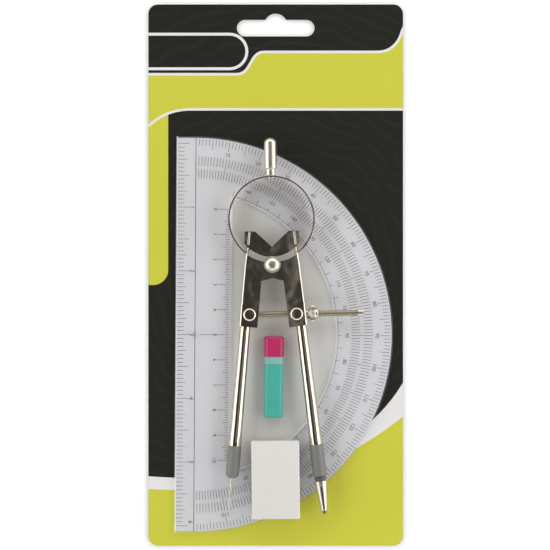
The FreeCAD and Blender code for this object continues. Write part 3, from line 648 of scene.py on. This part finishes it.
handle = {"bore": [(0, 40.0), (1.1, 40.0), (1.1, 35.32)],
          "neck": [(1.85, 35.32), (2.0, 35.5), (2.0, 37.7)],
          "step": [(2.12, 37.92), (2.34, 38.0), (2.5, 38.25)], "dome": (2.5, 48.4, 50.4)}
handleProfile = handle["bore"] + handle["neck"] + handle["step"] + domeProfile(*handle["dome"])
pieceFrom("handle_turned", lathe("handle", handleProfile), satin, "compass_head",
          ("handle",), compass @ alongY, True)

plug = {"shank": [(0, -64.0), (1.6, -64.0), (1.7, -64.2), (1.7, -73.05)],
        "shoulder": [(2.55, -73.05), (2.7, -73.2)], "dome": (2.7, -84.0, -86.0),
        "bore": [(0.53, -85.98), (0.53, -79.0), (0, -79.0)]}
plugProfile = plug["shank"] + plug["shoulder"] + domeProfile(*plug["dome"])[:-1] + plug["bore"]
pieceFrom("needle_plug_moulded", lathe("plug", plugProfile), nylon, "needle_leg",
          ("needle_plug",), leftLeg @ Matrix.Translation((placing["tubeX"] * mm, 0, 0)) @ alongY,
          True)

pin = {"foot": [(0, -3.65), (1.9, -3.65), (2.2, -3.4), (2.2, -3.2)],
       "shank": [(1.5, -3.2), (1.5, 3.2)], "head": [(2.75, 3.2), (2.85, 3.28)],
       "dome": (2.85, 3.4, 5.0)}
pinProfile = pin["foot"] + pin["shank"] + pin["head"] + domeProfile(*pin["dome"])[1:]
pieceFrom("pivot_rivet_headed", lathe("pin", pinProfile), satin, "compass_head",
          ("pivot_rivet",), compass, True)

stud = {"shank": [(0, 39.6), (1.08, 39.6), (1.08, 34.56)], "head": [(1.8, 34.5)],
        "dome": (1.8, 34.4, 33.75)}
studProfile = stud["shank"] + stud["head"] + domeProfile(*stud["dome"])[1:]
pieceFrom("handle_rivet_headed", lathe("stud", studProfile), nickel, "compass_head",
          ("handle_rivet",), compass @ alongY, True)

# rolled rim round the dish of each trunnion
rim = {"profile": [(1.9, 2.75), (2.42, 2.75), (2.48, 3.25), (2.42, 3.42), (2.25, 3.52),
                   (2.08, 3.44), (1.98, 3.28), (1.9, 3.1), (1.9, 2.75)], "steps": 40}
for side, name, body in ((-1, "trunnion_rim_left", "spindle_set"),
                         (1, "trunnion_rim_right", "right_swivel")):
    place = spindleLine @ Matrix.Translation((side * placing["trunnionX"] * mm, 0, 0))
    pieceFrom(name, lathe("rim", rim["profile"], rim["steps"]), satin, body,
              place=place, smooth=True)
print("turned pieces made")

# ring spring in two halves, one to each side of the head
ring = {"centre": 18.1, "outer": 17.2, "inner": 16.6, "half": 3.7, "edge": 0.1, "sweep": 142,
        "steps": 56, "bendFrom": (17.2, 21), "bendTo": (12.2, 6.2)}


def ringHalf(side):
    inner, outer, half, edge = (ring[word] for word in ("inner", "outer", "half", "edge"))
    section = [(inner, -half + edge), (inner + edge, -half), (outer - edge, -half),
               (outer, -half + edge), (outer, half - edge), (outer - edge, half),
               (inner + edge, half), (inner, half - edge)]
    steps, count = ring["steps"], len(section)
    points, faces = [], []
    for i in range(steps + 1):
        turn = math.radians(90 - ring["sweep"] * i / steps)
        for radius, height in section:
            points.append((side * radius * math.cos(turn) * mm,
                           (ring["centre"] + radius * math.sin(turn)) * mm, height * mm))
    for i in range(steps):
        for k in range(count):
            n = (k + 1) % count
            faces.append((i * count + k, i * count + n, (i + 1) * count + n, (i + 1) * count + k))
    faces += [tuple(range(count)), tuple(range(steps * count, (steps + 1) * count))]
    mesh = bpy.data.meshes.new("ring")
    mesh.from_pydata(points, [], faces)
    return outward(mesh)


for side, name, leg in ((-1, "ring_spring_left", "needle_leg"), (1, "ring_spring_right", "lead_leg")):
    half = pieceFrom(name, ringHalf(side), nickel, None, ("ring_spring",), compass, True)
    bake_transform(half)
print("ring made")

screw = {"start": -10.85, "end": 36.2, "pitch": 0.7, "crest": 1.29, "root": 0.94, "steps": 20}


# a trapezium form wound along X round a core, fading out at both ends
def threadMesh(start, end, pitch, crest, root, steps):
    rows = int((end - start) / pitch * steps)
    form = [(0.0, root), (0.12, root), (0.38, crest), (0.5, crest), (0.62, crest), (0.88, root)]
    points, faces = [], []
    for i in range(rows + 1):
        turn = 2 * math.pi * i / steps
        for share, radius in form:
            x = start + pitch * (i / steps + share)
            fade = min(1.0, max(0.0, (end - x) / pitch), max(0.0, (x - start) / pitch))
            away = root + (radius - root) * fade
            points.append((min(x, end) * mm, away * math.sin(turn) * mm, away * math.cos(turn) * mm))
    wide = len(form)
    for i in range(rows):
        for k in range(wide - 1):
            faces.append((i * wide + k, i * wide + k + 1, (i + 1) * wide + k + 1, (i + 1) * wide + k))
        if i + steps < rows:
            faces.append((i * wide + wide - 1, (i + steps) * wide,
                          (i + steps + 1) * wide, (i + 1) * wide + wide - 1))
    wound = bpy.data.meshes.new("wound")
    wound.from_pydata(points, [], faces)
    core = lathe("core", [(0, start), (root + 0.01, start), (root + 0.01, end - 0.2),
                          (root - 0.15, end), (0, end)], 24)
    core.transform(Matrix.Rotation(math.pi / 2, 4, "Y"))
    return outward(joined("thread", wound, core))


pieceFrom("spindle_threaded", threadMesh(**screw), screwMetal, "spindle_set",
          ("spindle",), spindleLine, True)


def knurlNodes():
    group = bpy.data.node_groups.new("knurl", "GeometryNodeTree")
    for name, kind in (("Count", "Int"), ("Radius", "Float"), ("Length", "Float"),
                       ("Ridge", "Float"), ("Metal", "Material")):
        group.interface.new_socket(name, in_out="INPUT", socket_type=f"NodeSocket{kind}")
    group.interface.new_socket("Ridges", in_out="OUTPUT", socket_type="NodeSocketGeometry")
    given = addNode(group, "NodeGroupInput").outputs
    circle = addNode(group, "GeometryNodeMeshCircle", inputs={
        "Vertices": given["Count"], "Radius": given["Radius"]})
    index = addNode(group, "GeometryNodeInputIndex")
    share = addNode(group, "ShaderNodeMath", {"operation": "DIVIDE"},
                    {0: index.outputs[0], 1: given["Count"]})
    angle = addNode(group, "ShaderNodeMath", {"operation": "MULTIPLY_ADD"},
                    {0: share.outputs[0], 1: 2 * math.pi, 2: math.pi / 4})
    turn = addNode(group, "ShaderNodeCombineXYZ", inputs={2: angle.outputs[0]})
    size = addNode(group, "ShaderNodeCombineXYZ", inputs={
        0: given["Ridge"], 1: given["Ridge"], 2: given["Length"]})
    ridge = addNode(group, "GeometryNodeMeshCube", inputs={"Size": size.outputs[0]})
    placed = addNode(group, "GeometryNodeInstanceOnPoints", inputs={
        "Points": circle.outputs[0], "Instance": ridge.outputs[0], "Rotation": turn.outputs[0]})
    real = addNode(group, "GeometryNodeRealizeInstances", inputs={0: placed.outputs[0]})
    metal = addNode(group, "GeometryNodeSetMaterial", inputs={
        "Geometry": real.outputs[0], "Material": given["Metal"]})
    addNode(group, "NodeGroupOutput", inputs={0: metal.outputs[0]})
    return group


wheel = {"ridges": 40, "ridgeRadius": 2.93, "ridgeLong": 1.5, "ridge": 0.3, "ridgeMiddle": 15.78,
         "profile": [(1.36, 14.68), (2.5, 14.68), (2.78, 14.8), (2.95, 15.05), (2.95, 16.51),
                     (2.78, 16.76), (2.5, 16.88), (2.2, 16.88), (2.2, 17.6), (2.0, 17.85),
                     (1.36, 17.85), (1.36, 14.68)]}
ridges = meshOfGroup(knurlNodes(), {
    "Count": wheel["ridges"], "Radius": wheel["ridgeRadius"] * mm,
    "Length": wheel["ridgeLong"] * mm, "Ridge": wheel["ridge"] * mm, "Metal": satin})
ridges.transform(Matrix.Translation((0, 0, wheel["ridgeMiddle"] * mm)))
pieceFrom("thumb_wheel_knurled", joined("wheel", lathe("wheel", wheel["profile"]), ridges), satin,
          "wheel", ("thumb_wheel",), spindleLine @ Matrix.Rotation(math.pi / 2, 4, "Y"),
          True)
print("spindle and wheel made")


# a block between two corners in mm, with its edges rounded
def softBlock(name, low, high, radius, steps=4):
    mesh = bpy.data.meshes.new(name)
    shape = bmesh.new()
    bmesh.ops.create_cube(shape, size=1)
    size = [(b - a) * mm for a, b in zip(low, high)]
    middle = [(b + a) / 2 * mm for a, b in zip(low, high)]
    bmesh.ops.transform(shape, matrix=Matrix.Diagonal((*size, 1)), verts=shape.verts)
    bmesh.ops.translate(shape, vec=middle, verts=shape.verts)
    bmesh.ops.bevel(shape, geom=shape.edges[:], offset=radius * mm, segments=steps, profile=0.5,
                    affect="EDGES")
    shape.to_mesh(mesh)
    shape.free()
    return mesh


# folded flange that stands up along each tab
fold = {"x": (9.75, 10.55), "y": (6.8, 12.1), "z": (2.2, 2.85), "round": 0.3}
for side, name, place, leg in ((-1, "tab_fold_left", leftLeg, "needle_leg"),
                               (1, "tab_fold_right", rightLeg, "lead_leg")):
    inner, outer = sorted(side * x for x in fold["x"])
    low, high = ((x, y, z) for x, y, z in zip((inner, outer), fold["y"], fold["z"]))
    pieceFrom(name, softBlock("fold", low, high, fold["round"]), nickel, leg,
              place=place, smooth=True)

rubber = {"halfWide": 9.5, "halfTall": 15.4, "thick": 9.0, "round": 0.55, "turn": 0.6}
rubberMiddle = (rubberLow + rubberHigh) / 2
rubberPlace = (Matrix.Translation((rubberMiddle.x, rubberMiddle.y, rubberLow.z))
               @ Matrix.Rotation(math.radians(rubber["turn"]), 4, "Z"))
rubberBlock = softBlock("eraser", (-rubber["halfWide"], -rubber["halfTall"], 0),
                        (rubber["halfWide"], rubber["halfTall"], rubber["thick"]), rubber["round"])
pieceFrom("eraser_block_cut", rubberBlock, vinyl, "eraser_block", ("eraser",),
          rubberPlace, True)
print("blocks made")

# floor of matt white paper, just under the card
floorLook = {"half": 4, "below": 0.3, "paper": "#F4F4F3", "rough": 0.9}
half = floorLook["half"]
floorMesh = bpy.data.meshes.new("floor")
floorMesh.from_pydata([(-half, -half, 0), (half, -half, 0), (half, half, 0), (-half, half, 0)],
                      [], [(0, 1, 2, 3)])
floor = bpy.data.objects.new("floor", floorMesh)
floor.location.z = -floorLook["below"] * mm
bpy.context.scene.collection.objects.link(floor)
paper, tree, shader = newMaterial("studio paper, matte white")
shader.inputs["Base Color"].default_value = colour(floorLook["paper"])
shader.inputs["Roughness"].default_value = floorLook["rough"]
floorMesh.materials.append(paper)

# four low panels light the card and line the metal; a faint one overhead shows in its flat faces
lamps = {
    "left_softbox": ((-0.95, 0.0, 0.5), (1.7, 0.9), 11.4),
    "right_softbox": ((0.95, 0.0, 0.5), (1.7, 0.9), 12.5),
    "top_softbox": ((0.0, 0.95, 0.55), (1.7, 0.9), 9.0),
    "low_softbox": ((0.0, -0.95, 0.55), (1.7, 0.9), 6.5),
    "overhead_softbox": ((0.45, 0.0, 1.5), (0.86, 0.86), 0.5),
}
for name, (where, size, power) in lamps.items():
    lamp = bpy.data.lights.new(name, "AREA")
    lamp.shape = "RECTANGLE"
    lamp.size, lamp.size_y = size
    lamp.energy = power
    thing = bpy.data.objects.new(name, lamp)
    thing.location = where
    thing.rotation_euler = (-Vector(where)).to_track_quat("-Z", "Y").to_euler()
    bpy.context.scene.collection.objects.link(thing)
room = {"colour": (0.95, 0.97, 1, 1), "strength": 0.05}
world = bpy.data.worlds.new("studio")
world.use_nodes = True
world.node_tree.nodes["Background"].inputs["Color"].default_value = room["colour"]
world.node_tree.nodes["Background"].inputs["Strength"].default_value = room["strength"]
bpy.context.scene.world = world

view = {"lens": 180, "sensor": 36, "place": (-0.28 * mm, 0, 1.098)}
camera = bpy.data.objects.new("camera", bpy.data.cameras.new("camera"))
camera.data.lens = view["lens"]
camera.data.sensor_width = view["sensor"]
camera.location = view["place"]
bpy.context.scene.collection.objects.link(camera)
bpy.context.scene.camera = camera
bpy.context.scene.view_settings.view_transform = "Standard"
print("studio set")
